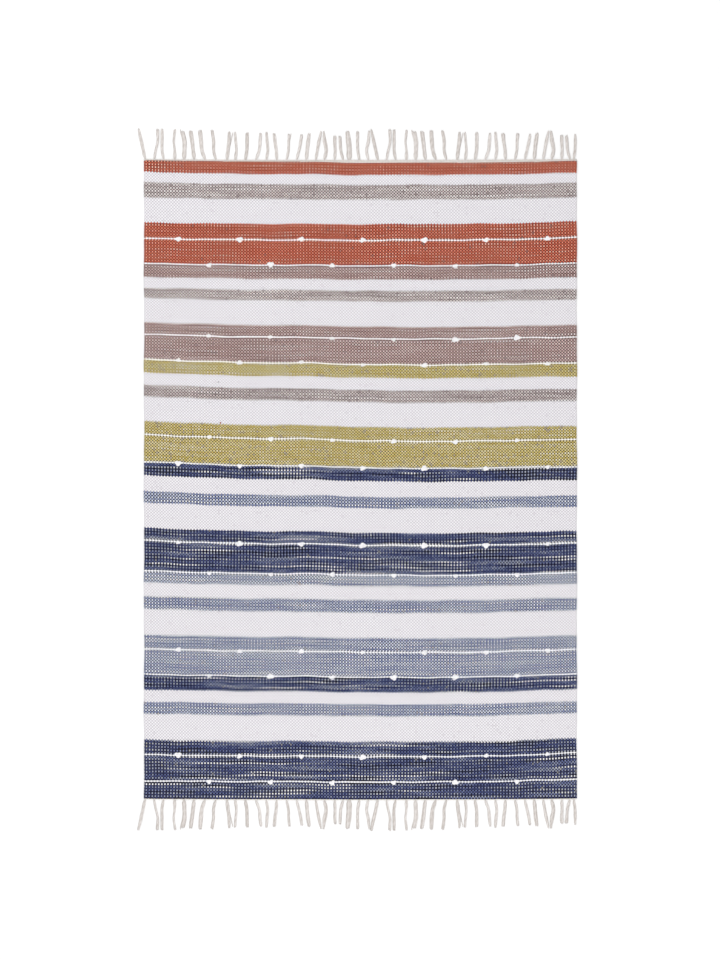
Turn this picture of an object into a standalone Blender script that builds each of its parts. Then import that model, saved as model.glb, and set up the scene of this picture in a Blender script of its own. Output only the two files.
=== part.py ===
"""Flat-woven cotton rug: one striped cloth with twelve raised, knotted effect yarns across it,
and a fringe of loose warp locks, rooted in a narrow twined header, at each end.

Metres, +Z up. The rug lies flat on z = 0 with its length along Y: the rust end is at +Y, the
navy end at -Y. The origin is on the underside, in the middle of the cloth.
"""

import math
from typing import NamedTuple

import bmesh
import bpy

for old in list(bpy.data.objects):
    bpy.data.objects.remove(old, do_unlink=True)

# Cloth
RUG_WIDTH = 1.200
RUST_END = 0.8807
NAVY_END = -0.8827
CLOTH_THICKNESS = 0.0050
SELVEDGE_WAVE = 0.0007
SELVEDGE_LONG_WAVE = 21.0
SELVEDGE_SHORT_WAVE = 52.0
SHORT_WAVE_SHARE = 0.6
END_COLUMNS = 60
SAME_COLUMN = 0.0001

# Effect yarn, laid on the cloth's face
YARN_HALF_WIDTH = 0.0031
YARN_RISE = 0.0017
YARN_SHOULDER_OUT = 0.55
YARN_SHOULDER_UP = 0.78

# Knot in an effect yarn
KNOT_PITCH = 0.1707
KNOT_HALF_LENGTH = 0.0066
KNOT_HALF_WIDTH = 0.0056
KNOT_RISE = 0.0048
KNOT_LEAN = 0.0017
KNOT_SIZE = {"s": 0.82, "m": 1.0, "l": 1.2}
KNOT_SIDE = {"u": 1.0, "c": 0.0, "d": -1.0}
KNOT_STATIONS = (-1.0, -0.5, 0.0, 0.5, 1.0)

# Twined header and the fringe that leaves it
HEADER_GAP = 0.0003
HEADER_THICKNESS = 0.0034
HEADER_END_MARGIN = 0.0004
RUST_HEADER_LINE = 0.8899
NAVY_HEADER_LINE = -0.8857
HEADER_LINE_CURVE = 0.0022
LOCK_TOP_SHARE = 0.62
LOCK_RISE = 0.0042
LOCK_TIP_RISE = 0.0026
LOCK_LOW = 0.024
LOCK_MIDDLE = 0.052
LOCK_HIGH_SHARE = 0.6
LOCK_LOW_FILL = 0.7
FIRST_RUN = 24
SECOND_RUN = 21
SECOND_RUN_START = 0.6453
SECOND_RUN_CLOSENESS = 0.9703


class Bow(NamedTuple):
    """How far the picks rise towards +Y, away from the middle of the width, at one Y."""

    y: float
    left: float
    shoulder: float
    hump: float
    right: float


BOWS = (
    Bow(y=-0.883, left=0.0020, shoulder=0.0008, hump=0.0006, right=0.0030),
    Bow(y=-0.835, left=0.0040, shoulder=0.0020, hump=0.0012, right=0.0095),
    Bow(y=-0.765, left=0.0065, shoulder=0.0023, hump=0.0010, right=0.0115),
    Bow(y=-0.525, left=0.0092, shoulder=0.0030, hump=-0.0004, right=0.0092),
    Bow(y=-0.235, left=0.0125, shoulder=0.0036, hump=-0.0012, right=0.0064),
    Bow(y=0.057, left=0.0180, shoulder=0.0056, hump=-0.0021, right=0.0028),
    Bow(y=0.265, left=0.0164, shoulder=0.0046, hump=-0.0014, right=0.0039),
    Bow(y=0.472, left=0.0110, shoulder=0.0035, hump=-0.0012, right=0.0052),
    Bow(y=0.570, left=0.0075, shoulder=0.0020, hump=0.0005, right=0.0075),
    Bow(y=0.705, left=0.0050, shoulder=0.0014, hump=0.0014, right=0.0090),
    Bow(y=0.845, left=0.0095, shoulder=0.0024, hump=0.0010, right=0.0070),
    Bow(y=0.881, left=0.0074, shoulder=0.0036, hump=0.0008, right=0.0062),
)
SHOULDER_REACH = 0.25
HUMP_REACH = 0.70
EDGE_RISE_START = 0.40
EDGE_RISE_POWER = 1.5


class EffectYarn(NamedTuple):
    """A knotted yarn: its height up the rug, its first knot, and each knot's side and size."""

    y: float
    first_knot: float
    side: str
    size: str


EARLY = -0.5055
LATE = -0.4196
EFFECT_YARNS = (
    EffectYarn(y=0.6665, first_knot=EARLY, side="ccuucdc", size="mlmmlmm"),
    EffectYarn(y=0.5961, first_knot=LATE, side="duccdc", size="mlmmms"),
    EffectYarn(y=0.3944, first_knot=LATE, side="ccdddc", size="ssssll"),
    EffectYarn(y=0.3226, first_knot=EARLY, side="ucudcud", size="smssmss"),
    EffectYarn(y=0.1114, first_knot=LATE, side="ccdddc", size="smsmms"),
    EffectYarn(y=0.0363, first_knot=EARLY, side="ddcdcdc", size="lmmmlms"),
    EffectYarn(y=-0.1785, first_knot=EARLY, side="dddccdc", size="slmllls"),
    EffectYarn(y=-0.2611, first_knot=LATE, side="ddcddd", size="ssmmsm"),
    EffectYarn(y=-0.4756, first_knot=EARLY, side="cdccddc", size="msmsmmm"),
    EffectYarn(y=-0.5446, first_knot=LATE, side="dcddcu", size="slmllm"),
    EffectYarn(y=-0.7655, first_knot=EARLY, side="uddcdcc", size="lmmlmss"),
    EffectYarn(y=-0.8359, first_knot=LATE, side="dddddd", size="mmmmlm"),
)


class Lock(NamedTuple):
    """A fringe lock in millimetres: its root's distance from the left selvedge, its lean at the
    low, middle and tip stations, its length, and its width at root, middle and tip."""

    place: float
    low: float
    middle: float
    tip: float
    length: float
    root_width: float
    girth: float
    tip_width: float


LOCKS = (
    Lock(place=3, low=-5, middle=-11, tip=-18, length=84, root_width=7, girth=10, tip_width=6),
    Lock(place=28, low=4, middle=10, tip=9, length=84, root_width=6, girth=7, tip_width=9),
    Lock(place=54, low=-4, middle=-4, tip=-4, length=84, root_width=6, girth=9, tip_width=8),
    Lock(place=85, low=0, middle=-3, tip=1, length=83, root_width=10, girth=6, tip_width=8),
    Lock(place=111, low=1, middle=1, tip=-4, length=78, root_width=9, girth=13, tip_width=13),
    Lock(place=139, low=-3, middle=-6, tip=-10, length=79, root_width=7, girth=11, tip_width=11),
    Lock(place=169, low=-8, middle=-11, tip=-13, length=81, root_width=6, girth=12, tip_width=11),
    Lock(place=199, low=-6, middle=-6, tip=-10, length=81, root_width=6, girth=9, tip_width=8),
    Lock(place=230, low=2, middle=6, tip=6, length=77, root_width=8, girth=10, tip_width=7),
    Lock(place=253, low=3, middle=1, tip=-1, length=76, root_width=9, girth=7, tip_width=6),
    Lock(place=281, low=4, middle=5, tip=5, length=75, root_width=8, girth=10, tip_width=10),
    Lock(place=310, low=9, middle=12, tip=14, length=73, root_width=6, girth=9, tip_width=7),
    Lock(place=339, low=4, middle=2, tip=0, length=76, root_width=6, girth=9, tip_width=8),
    Lock(place=368, low=-1, middle=-5, tip=-7, length=73, root_width=7, girth=10, tip_width=10),
    Lock(place=395, low=5, middle=6, tip=8, length=72, root_width=6, girth=8, tip_width=9),
    Lock(place=423, low=6, middle=12, tip=15, length=70, root_width=5, girth=9, tip_width=8),
    Lock(place=450, low=2, middle=5, tip=8, length=73, root_width=7, girth=11, tip_width=9),
    Lock(place=476, low=4, middle=9, tip=15, length=79, root_width=5, girth=9, tip_width=4),
    Lock(place=500, low=5, middle=1, tip=-2, length=79, root_width=6, girth=11, tip_width=5),
    Lock(place=529, low=1, middle=0, tip=1, length=66, root_width=6, girth=9, tip_width=10),
    Lock(place=552, low=-6, middle=-8, tip=-9, length=66, root_width=6, girth=9, tip_width=10),
    Lock(place=569, low=0, middle=-2, tip=-5, length=79, root_width=13, girth=15, tip_width=12),
    Lock(place=597, low=-4, middle=-5, tip=-4, length=79, root_width=8, girth=8, tip_width=9),
    Lock(place=622, low=-5, middle=0, tip=2, length=80, root_width=7, girth=9, tip_width=6),
)
CORNER_LOCK = Lock(
    place=1192, low=3, middle=4, tip=4, length=69, root_width=6, girth=9, tip_width=6
)
MM = 0.001


def between(low: float, high: float, share: float) -> float:
    """The value at this share of the way from low to high."""
    return low + (high - low) * share


def smooth(share: float) -> float:
    """Ease from 0 to 1."""
    share = min(max(share, 0.0), 1.0)
    return share * share * (3.0 - 2.0 * share)


def bow_row(y: float) -> Bow:
    """The bow at this Y, between its two neighbours in the table."""
    y = min(max(y, BOWS[0].y), BOWS[-1].y)
    for low, high in zip(BOWS, BOWS[1:]):
        if y <= high.y:
            break
    share = (y - low.y) / (high.y - low.y)
    return Bow(*(between(a, b, share) for a, b in zip(low, high)))


def bow(x: float, y: float) -> float:
    """How far a pick that crosses the middle at this Y has risen at x."""
    row = bow_row(y)
    out = abs(x) / (RUG_WIDTH / 2)
    edge = max(0.0, (out - EDGE_RISE_START) / (1.0 - EDGE_RISE_START)) ** EDGE_RISE_POWER
    if x < 0:
        return row.shoulder * smooth(out / SHOULDER_REACH) + (row.left - row.shoulder) * edge
    return row.hump * math.sin(math.pi * min(1.0, out / HUMP_REACH)) + row.right * edge


def selvedge(y: float, side: int) -> float:
    """X of the left (side -1) or right (side 1) edge, which waves a little."""
    wave = math.sin(y * SELVEDGE_LONG_WAVE + side)
    wave += SHORT_WAVE_SHARE * math.sin(y * SELVEDGE_SHORT_WAVE - side)
    return side * RUG_WIDTH / 2 + SELVEDGE_WAVE * wave


def zip_rows(bm, low, high):
    """Fill the band between two rows of vertices that both run from -X to +X."""
    i = 0
    j = 0
    while i < len(low) - 1 or j < len(high) - 1:
        low_left = i < len(low) - 1
        high_left = j < len(high) - 1
        if low_left and high_left and abs(low[i + 1].co.x - high[j + 1].co.x) < SAME_COLUMN:
            bm.faces.new((low[i], low[i + 1], high[j + 1], high[j]))
            i += 1
            j += 1
        elif low_left and (not high_left or low[i + 1].co.x < high[j + 1].co.x):
            bm.faces.new((low[i], low[i + 1], high[j]))
            i += 1
        else:
            bm.faces.new((low[i], high[j + 1], high[j]))
            j += 1


def end_row(bm, y, z):
    """A row of vertices along an end edge of the cloth."""
    row = []
    for column in range(END_COLUMNS + 1):
        x = between(-RUG_WIDTH / 2, RUG_WIDTH / 2, column / END_COLUMNS)
        if column in (0, END_COLUMNS):
            x = selvedge(y, -1 if column == 0 else 1)
        row.append(bm.verts.new((x, y + bow(x, y), z)))
    return row


def knots_of(yarn):
    """Each knot of a yarn as (x, side, size)."""
    return [
        (yarn.first_knot + number * KNOT_PITCH, KNOT_SIDE[side], KNOT_SIZE[size])
        for number, (side, size) in enumerate(zip(yarn.side, yarn.size))
    ]


def yarn_columns(yarn):
    """X of the columns along a yarn: a few on each knot and one between two knots."""
    columns = [selvedge(yarn.y, -1)]
    last_out = -RUG_WIDTH / 2
    for x, _, size in knots_of(yarn):
        reach = KNOT_HALF_LENGTH * size
        columns.append(between(last_out, x - reach, 0.5))
        columns.extend(x + reach * station for station in KNOT_STATIONS)
        last_out = x + reach
    columns.append(between(last_out, RUG_WIDTH / 2, 0.5))
    columns.append(selvedge(yarn.y, 1))
    return columns


def yarn_section(yarn, x):
    """Half width, rise and sideways lean of a yarn at x, fuller on a knot."""
    for knot_x, side, size in knots_of(yarn):
        away = abs(x - knot_x) / (KNOT_HALF_LENGTH * size)
        if away < 1.0:
            swell = math.cos(away * math.pi / 2)
            return (
                between(YARN_HALF_WIDTH, KNOT_HALF_WIDTH * size, swell),
                between(YARN_RISE, KNOT_RISE * size, swell),
                KNOT_LEAN * side * swell,
            )
    return YARN_HALF_WIDTH, YARN_RISE, 0.0


def yarn_rows(bm, yarn):
    """The five rows of vertices that raise one effect yarn from the cloth's face."""
    profile = (
        (-1.0, 0.0),
        (-YARN_SHOULDER_OUT, YARN_SHOULDER_UP),
        (0.0, 1.0),
        (YARN_SHOULDER_OUT, YARN_SHOULDER_UP),
        (1.0, 0.0),
    )
    rows = []
    for out, up in profile:
        row = []
        for x in yarn_columns(yarn):
            half_width, rise, lean = yarn_section(yarn, x)
            y = yarn.y + bow(x, yarn.y) + lean + half_width * out
            row.append(bm.verts.new((x, y, CLOTH_THICKNESS + rise * up)))
        rows.append(row)
    return rows


def woven_cloth():
    """The cloth as one solid: flat underside, bowed ends, knotted yarns raised in its face."""
    bm = bmesh.new()
    top = [end_row(bm, NAVY_END, CLOTH_THICKNESS)]
    for yarn in reversed(EFFECT_YARNS):
        top.extend(yarn_rows(bm, yarn))
    top.append(end_row(bm, RUST_END, CLOTH_THICKNESS))
    under = [end_row(bm, NAVY_END, 0.0)]
    for row in top[1:-1]:
        under.append([bm.verts.new((row[i].co.x, row[i].co.y, 0.0)) for i in (0, -1)])
    under.append(end_row(bm, RUST_END, 0.0))
    for face_rows in (top, under):
        for low, high in zip(face_rows, face_rows[1:]):
            zip_rows(bm, low, high)
    for side in (0, -1):
        for i in range(len(top) - 1):
            bm.faces.new((top[i][side], top[i + 1][side], under[i + 1][side], under[i][side]))
    for above, below in ((top[0], under[0]), (top[-1], under[-1])):
        for i in range(len(above) - 1):
            bm.faces.new((above[i], above[i + 1], below[i + 1], below[i]))
    return bm


def fringe_locks():
    """Every lock of one fringe from left to right, as (root x, lock)."""
    left = -RUG_WIDTH / 2
    locks = [(left + lock.place * MM, lock) for lock in LOCKS[:FIRST_RUN]]
    for lock in LOCKS[:SECOND_RUN]:
        place = SECOND_RUN_START + SECOND_RUN_CLOSENESS * lock.place * MM
        locks.append((left + place, lock))
    locks.append((left + CORNER_LOCK.place * MM, CORNER_LOCK))
    return locks


def header_columns():
    """X of each column of the header: its two ends and both sides of every lock's root."""
    columns = [-RUG_WIDTH / 2]
    for x, lock in fringe_locks():
        half = lock.root_width * MM / 2
        columns.extend((x - half, x + half))
    columns.append(RUG_WIDTH / 2)
    columns[0] = min(columns[0], columns[1] - HEADER_END_MARGIN)
    return columns


def lock_rings(x, lock, line):
    """Centre, distance out, width and rise of a lock's rings beyond its root."""
    length = lock.length * MM
    low_width = between(lock.root_width, lock.girth, LOCK_LOW_FILL)
    high_out = between(LOCK_MIDDLE, length, LOCK_HIGH_SHARE)
    high_lean = between(lock.middle, lock.tip, LOCK_HIGH_SHARE)
    high_width = between(lock.girth, lock.tip_width, LOCK_HIGH_SHARE)
    stations = (
        (LOCK_LOW, lock.low, low_width, LOCK_RISE),
        (LOCK_MIDDLE, lock.middle, lock.girth, LOCK_RISE),
        (high_out, high_lean, high_width, LOCK_RISE),
        (length, lock.tip, lock.tip_width, LOCK_TIP_RISE),
    )
    for out, lean, width, rise in stations:
        yield x + lean * MM, line + out, width * MM, rise


def fringe(end_y, header_line, outward):
    """A header strip beside an end edge, with every lock drawn out of its outer wall."""
    bm = bmesh.new()
    columns = []
    for x in header_columns():
        curve = HEADER_LINE_CURVE * (x / (RUG_WIDTH / 2)) ** 2
        inner = end_y + bow(x, end_y) + outward * HEADER_GAP
        outer = header_line + curve
        corners = ((inner, 0.0), (inner, HEADER_THICKNESS), (outer, HEADER_THICKNESS), (outer, 0.0))
        columns.append([bm.verts.new((x, y, z)) for y, z in corners])
    roots = []
    for number, (left, right) in enumerate(zip(columns, columns[1:])):
        for corner in range(4):
            after = (corner + 1) % 4
            face = bm.faces.new((left[corner], right[corner], right[after], left[after]))
            if corner == 2 and number % 2 == 1:
                roots.append(face)
    bm.faces.new(columns[0])
    bm.faces.new(columns[-1])
    for face, (x, lock) in zip(roots, fringe_locks()):
        line = abs(face.calc_center_median().y)
        for centre, out, width, rise in lock_rings(x, lock, line):
            face = bmesh.ops.extrude_discrete_faces(bm, faces=[face])["faces"][0]
            middle = face.calc_center_median()
            for vert in face.verts:
                side = 1.0 if vert.co.x > middle.x else -1.0
                above = vert.co.z > middle.z
                reach = width / 2 * (LOCK_TOP_SHARE if above else 1.0)
                vert.co = (centre + side * reach, outward * out, rise if above else 0.0)
    return bm


def cotton(name, color, roughness):
    """A matt cotton material."""
    material = bpy.data.materials.new(name)
    material.use_nodes = True
    shader = material.node_tree.nodes["Principled BSDF"]
    shader.inputs["Base Color"].default_value = (*color, 1.0)
    shader.inputs["Roughness"].default_value = roughness
    shader.inputs["Metallic"].default_value = 0.0
    material.diffuse_color = (*color, 1.0)
    return material


def finished(name, bm, material):
    """Turn a bmesh into a named object with outward faces, smooth but for its hard edges."""
    bmesh.ops.recalc_face_normals(bm, faces=bm.faces)
    mesh = bpy.data.meshes.new(name)
    bm.to_mesh(mesh)
    bm.free()
    mesh.materials.append(material)
    mesh.shade_smooth()
    mesh.set_sharp_from_angle(angle=math.radians(40.0))
    obj = bpy.data.objects.new(name, mesh)
    bpy.context.scene.collection.objects.link(obj)
    return obj


woven_cotton = cotton("woven_cotton", color=(0.47, 0.45, 0.46), roughness=0.92)
fringe_cotton = cotton("fringe_cotton", color=(0.70, 0.66, 0.63), roughness=0.95)
finished("woven_cloth", woven_cloth(), woven_cotton)
finished("fringe_rust_end", fringe(RUST_END, RUST_HEADER_LINE, 1), fringe_cotton)
finished("fringe_navy_end", fringe(NAVY_END, NAVY_HEADER_LINE, -1), fringe_cotton)
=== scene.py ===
"""Looks of a flat-woven striped cotton rug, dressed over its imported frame.

The rug lies face up: a ground cloth whose underside shows the same stripes, the weft of every
stripe woven into its face, twelve knotted effect yarns, two stray tufts of fibre, a ribbed
header at both ends, and a fringe of loose warp locks. Metres, +Z up, the rust end towards +Y.
"""

import logging
import math
from collections.abc import Sequence
from dataclasses import dataclass, field
from enum import Enum
from typing import Any, Union

import bpy
import numpy as np
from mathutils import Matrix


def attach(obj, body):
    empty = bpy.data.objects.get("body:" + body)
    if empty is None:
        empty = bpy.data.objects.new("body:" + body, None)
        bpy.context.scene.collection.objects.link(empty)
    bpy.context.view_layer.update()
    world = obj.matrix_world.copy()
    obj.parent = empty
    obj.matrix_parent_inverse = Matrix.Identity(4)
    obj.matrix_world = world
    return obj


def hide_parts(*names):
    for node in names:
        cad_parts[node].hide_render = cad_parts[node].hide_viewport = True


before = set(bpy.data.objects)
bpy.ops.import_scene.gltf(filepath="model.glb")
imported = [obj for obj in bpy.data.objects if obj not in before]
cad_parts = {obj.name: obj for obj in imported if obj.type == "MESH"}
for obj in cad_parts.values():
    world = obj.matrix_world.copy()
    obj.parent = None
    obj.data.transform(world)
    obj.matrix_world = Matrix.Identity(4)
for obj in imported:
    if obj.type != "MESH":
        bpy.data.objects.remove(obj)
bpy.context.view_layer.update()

log = logging.getLogger("rug")

MM = 0.001
RUG_WIDTH = 1.200
RUST_END = 0.8807
NAVY_END = -0.8827
CLOTH_THICKNESS = 0.0050
WARPS = 281
TWO_WARPS = 0.00854
EFFECT_BAND = 0.0046
BODY = "root"
WEAVE_MAP = "Weave"
SHADE = "Shade"
SPECULAR = 0.25
SHEEN_ROUGHNESS = 0.6
BUMP_STRENGTH = 0.7
ROUND_SHARE = 0.98
LAST_REACH = 1.05
MIX_SHARE, MIX_FIRST, MIX_SECOND = 0, 6, 7

Colour = tuple[float, float, float]
Term = Union["Signal", float]


def smooth(share: np.ndarray) -> np.ndarray:
    """Ease from 0 to 1."""
    share = np.clip(share, 0.0, 1.0)
    return share * share * (3.0 - 2.0 * share)


def flow(stations: np.ndarray, values: np.ndarray, at: np.ndarray) -> np.ndarray:
    """Follow a smooth line through a few given values.

    Args:
        stations: Places of the values, rising.
        values: The value at each station.
        at: Places where the line is read, which may run a little past the last station.

    Returns:
        The line's value at each of those places.
    """
    slopes = np.gradient(values, stations)
    low = np.clip(np.searchsorted(stations, at) - 1, 0, len(stations) - 2)
    span = stations[low + 1] - stations[low]
    share = np.clip((at - stations[low]) / span, 0.0, LAST_REACH)
    rest = 1.0 - share
    return (
        (1.0 + 2.0 * share) * rest**2 * values[low]
        + share * rest**2 * span * slopes[low]
        + share**2 * (3.0 - 2.0 * share) * values[low + 1]
        - share**2 * rest * span * slopes[low + 1]
    )


def turn_about(x: np.ndarray, y: np.ndarray, angle: float) -> tuple[np.ndarray, np.ndarray]:
    """Turn points about the origin."""
    cosine, sine = math.cos(angle), math.sin(angle)
    return cosine * x - sine * y, sine * x + cosine * y


@dataclass(frozen=True)
class Ripple:
    """A sine over two values: its size, its pace over each in radians, and its start."""

    size: float
    pace: float
    other_pace: float = 0.0
    start: float = 0.0

    def at(self, value: np.ndarray, other: np.ndarray | float = 0.0) -> np.ndarray:
        """Read the ripple at a pair of values."""
        return self.size * np.sin(value * self.pace + other * self.other_pace + self.start)


@dataclass(frozen=True)
class Bow:
    """How far the picks rise towards +Y, away from the middle of the width, at one Y."""

    y: float
    left: float
    shoulder: float
    hump: float
    right: float


@dataclass(frozen=True)
class Lie:
    """How the rug lies on the floor: the rise of its picks and the run of its selvedges."""

    bows: tuple[Bow, ...] = (
        Bow(y=-0.883, left=0.0020, shoulder=0.0008, hump=0.0006, right=0.0030),
        Bow(y=-0.835, left=0.0040, shoulder=0.0020, hump=0.0012, right=0.0095),
        Bow(y=-0.765, left=0.0065, shoulder=0.0023, hump=0.0010, right=0.0115),
        Bow(y=-0.525, left=0.0092, shoulder=0.0030, hump=-0.0004, right=0.0092),
        Bow(y=-0.235, left=0.0125, shoulder=0.0036, hump=-0.0012, right=0.0064),
        Bow(y=0.057, left=0.0180, shoulder=0.0056, hump=-0.0021, right=0.0028),
        Bow(y=0.265, left=0.0164, shoulder=0.0046, hump=-0.0014, right=0.0039),
        Bow(y=0.472, left=0.0110, shoulder=0.0035, hump=-0.0012, right=0.0052),
        Bow(y=0.570, left=0.0075, shoulder=0.0020, hump=0.0005, right=0.0075),
        Bow(y=0.705, left=0.0050, shoulder=0.0014, hump=0.0014, right=0.0090),
        Bow(y=0.845, left=0.0095, shoulder=0.0024, hump=0.0010, right=0.0070),
        Bow(y=0.881, left=0.0074, shoulder=0.0036, hump=0.0008, right=0.0062),
    )
    shoulder_reach: float = 0.25
    hump_reach: float = 0.70
    edge_start: float = 0.40
    edge_power: float = 1.5
    selvedge_wave: float = 0.0007
    long_wave: float = 21.0
    short_wave: float = 52.0
    short_share: float = 0.6
    drift: float = 0.0011
    drift_fade: float = 0.030
    swell: float = 0.6
    swell_pace: float = 27.0
    sway: Ripple = Ripple(size=8.0, pace=7.3)
    ripples: tuple[Ripple, ...] = (
        Ripple(size=0.4, pace=49.0, other_pace=21.0, start=1.7),
        Ripple(size=0.2, pace=83.0, other_pace=-37.0),
    )

    def bow(self, x: np.ndarray, y: np.ndarray) -> np.ndarray:
        """Work out the even rise of a pick.

        Args:
            x: Place across the rug.
            y: Where the pick crosses the middle of the width.

        Returns:
            How far the pick lies towards +Y there.
        """
        rows = [b.y for b in self.bows]
        left, shoulder, hump, right = (
            np.interp(y, rows, [getattr(b, part) for b in self.bows])
            for part in ("left", "shoulder", "hump", "right")
        )
        out = np.abs(x) / (RUG_WIDTH / 2)
        edge = np.clip((out - self.edge_start) / (1.0 - self.edge_start), 0.0, None)
        edge = edge**self.edge_power
        on_left = shoulder * smooth(out / self.shoulder_reach) + (left - shoulder) * edge
        hump_rise = np.sin(math.pi * np.minimum(1.0, out / self.hump_reach))
        return np.where(x < 0, on_left, hump * hump_rise + right * edge)

    def wander(self, x: np.ndarray, y: np.ndarray) -> np.ndarray:
        """Work out the uneven rise and fall of a pick, which dies out at both ends.

        Args:
            x: Place across the rug.
            y: Where the pick crosses the middle of the width.

        Returns:
            How far the pick lies towards +Y there.
        """
        fade = smooth((RUST_END - y) / self.drift_fade) * smooth((y - NAVY_END) / self.drift_fade)
        wide = self.swell * np.sin(x * self.swell_pace + self.sway.at(y))
        return self.drift * fade * (wide + sum(ripple.at(x, y) for ripple in self.ripples))

    def pick(self, x: np.ndarray, y: np.ndarray) -> np.ndarray:
        """Y at x of the pick that crosses the middle of the width at y."""
        return y + self.bow(x, y) + self.wander(x, y)

    def selvedge(self, y: np.ndarray, side: int) -> np.ndarray:
        """Follow the slightly uneven edge of the rug.

        Args:
            y: Place along the rug.
            side: -1 for the left edge and 1 for the right one.

        Returns:
            X of the edge there.
        """
        wave = np.sin(y * self.long_wave + side)
        wave = wave + self.short_share * np.sin(y * self.short_wave - side)
        return side * RUG_WIDTH / 2 + self.selvedge_wave * wave

    def across(self, share: np.ndarray, y: np.ndarray) -> np.ndarray:
        """X at this share of the way from the left selvedge to the right one."""
        left = self.selvedge(y, -1)
        return left + (self.selvedge(y, 1) - left) * share


LIE = Lie()


class Yarn(Enum):
    """The yarns that are woven across the rug."""

    RUST = "rust"
    WHITE = "white"
    TAUPE = "taupe"
    ROSE = "rose"
    OLIVE = "olive"
    NAVY = "navy"
    BLUE_GREY = "blue_grey"
    EFFECT = "effect"


@dataclass(frozen=True)
class Stripe:
    """One stripe: its yarn, its foot's height up the rug in mm, how much lighter than its yarn
    it is, and whether an effect yarn lies along its foot."""

    yarn: Yarn
    foot: float
    shade: float = 0.0
    effect: bool = False


STRIPES = (
    Stripe(Yarn.RUST, foot=848.3),
    Stripe(Yarn.WHITE, foot=819.7),
    Stripe(Yarn.TAUPE, foot=778.9),
    Stripe(Yarn.WHITE, foot=710.8),
    Stripe(Yarn.RUST, foot=664.2, effect=True),
    Stripe(Yarn.RUST, foot=593.8, effect=True),
    Stripe(Yarn.ROSE, foot=558.4),
    Stripe(Yarn.WHITE, foot=526.6),
    Stripe(Yarn.TAUPE, foot=497.7),
    Stripe(Yarn.WHITE, foot=427.8),
    Stripe(Yarn.ROSE, foot=392.1, effect=True),
    Stripe(Yarn.ROSE, foot=320.3, effect=True),
    Stripe(Yarn.OLIVE, foot=286.3),
    Stripe(Yarn.WHITE, foot=251.1),
    Stripe(Yarn.TAUPE, foot=218.1, shade=-0.05),
    Stripe(Yarn.WHITE, foot=149.2),
    Stripe(Yarn.OLIVE, foot=109.1, effect=True),
    Stripe(Yarn.OLIVE, foot=34.0, effect=True),
    Stripe(Yarn.NAVY, foot=-0.2, shade=-0.06),
    Stripe(Yarn.WHITE, foot=-44.7),
    Stripe(Yarn.BLUE_GREY, foot=-75.1),
    Stripe(Yarn.WHITE, foot=-144.6),
    Stripe(Yarn.NAVY, foot=-180.8, effect=True),
    Stripe(Yarn.NAVY, foot=-263.4, effect=True),
    Stripe(Yarn.BLUE_GREY, foot=-292.9, shade=0.06),
    Stripe(Yarn.WHITE, foot=-330.1),
    Stripe(Yarn.BLUE_GREY, foot=-366.1),
    Stripe(Yarn.WHITE, foot=-435.9),
    Stripe(Yarn.BLUE_GREY, foot=-477.9, effect=True),
    Stripe(Yarn.BLUE_GREY, foot=-546.9, effect=True),
    Stripe(Yarn.NAVY, foot=-587.0),
    Stripe(Yarn.WHITE, foot=-620.5),
    Stripe(Yarn.BLUE_GREY, foot=-653.3),
    Stripe(Yarn.WHITE, foot=-724.1),
    Stripe(Yarn.NAVY, foot=-767.8, effect=True),
    Stripe(Yarn.NAVY, foot=-838.2, effect=True),
    Stripe(Yarn.NAVY, foot=-882.7),
)


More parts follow.
